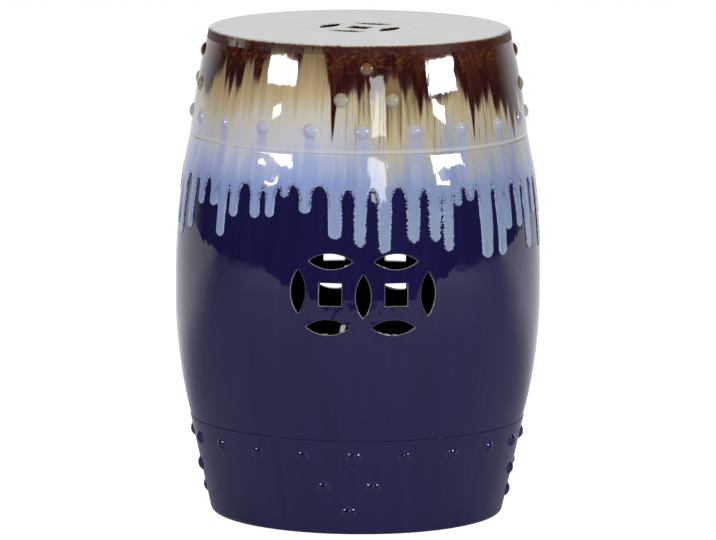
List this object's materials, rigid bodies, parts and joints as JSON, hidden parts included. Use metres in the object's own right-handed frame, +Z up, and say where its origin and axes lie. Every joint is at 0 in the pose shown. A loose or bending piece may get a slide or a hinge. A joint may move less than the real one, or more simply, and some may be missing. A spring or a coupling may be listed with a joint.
{
  "type": "ceramic garden stool",
  "caption": "Barrel-shaped ceramic garden stool with a flat round seat, studded collars, pierced coin panels and running drip glaze over a dark body.",
  "frame": {"origin": "centre of the foot on the floor plane, on the stool's axis", "axes": "+Z up along the stool's axis; the front pierced panel faces -Y; +X to the right seen from the front"},
  "size_m": [0.3422, 0.3422, 0.457],
  "materials": {
    "seat_glaze": "pale grey-white glaze, glossy, thin and brown at the rim",
    "collar_glaze": "brown glaze streaking down into cream and grey-blue, glossy",
    "run_glaze": "thick flowing pale blue glaze over navy, glossy",
    "navy_glaze": "deep navy glaze, glossy, breaking pale on edges",
    "stud_glaze": "pale glaze thin on the studs' tops"
  },
  "bodies": {
    "root": {"seat_slab": "seat_glaze", "top_collar": "collar_glaze", "belly_wall": "navy_glaze", "base_collar": "navy_glaze", "drip_glaze": "run_glaze", "top_front_studs": "stud_glaze", "top_right_studs": "stud_glaze", "top_back_studs": "stud_glaze", "top_left_studs": "stud_glaze", "base_front_studs": "navy_glaze", "base_right_studs": "navy_glaze", "base_back_studs": "navy_glaze", "base_left_studs": "navy_glaze"}
  },
  "joints": []
}
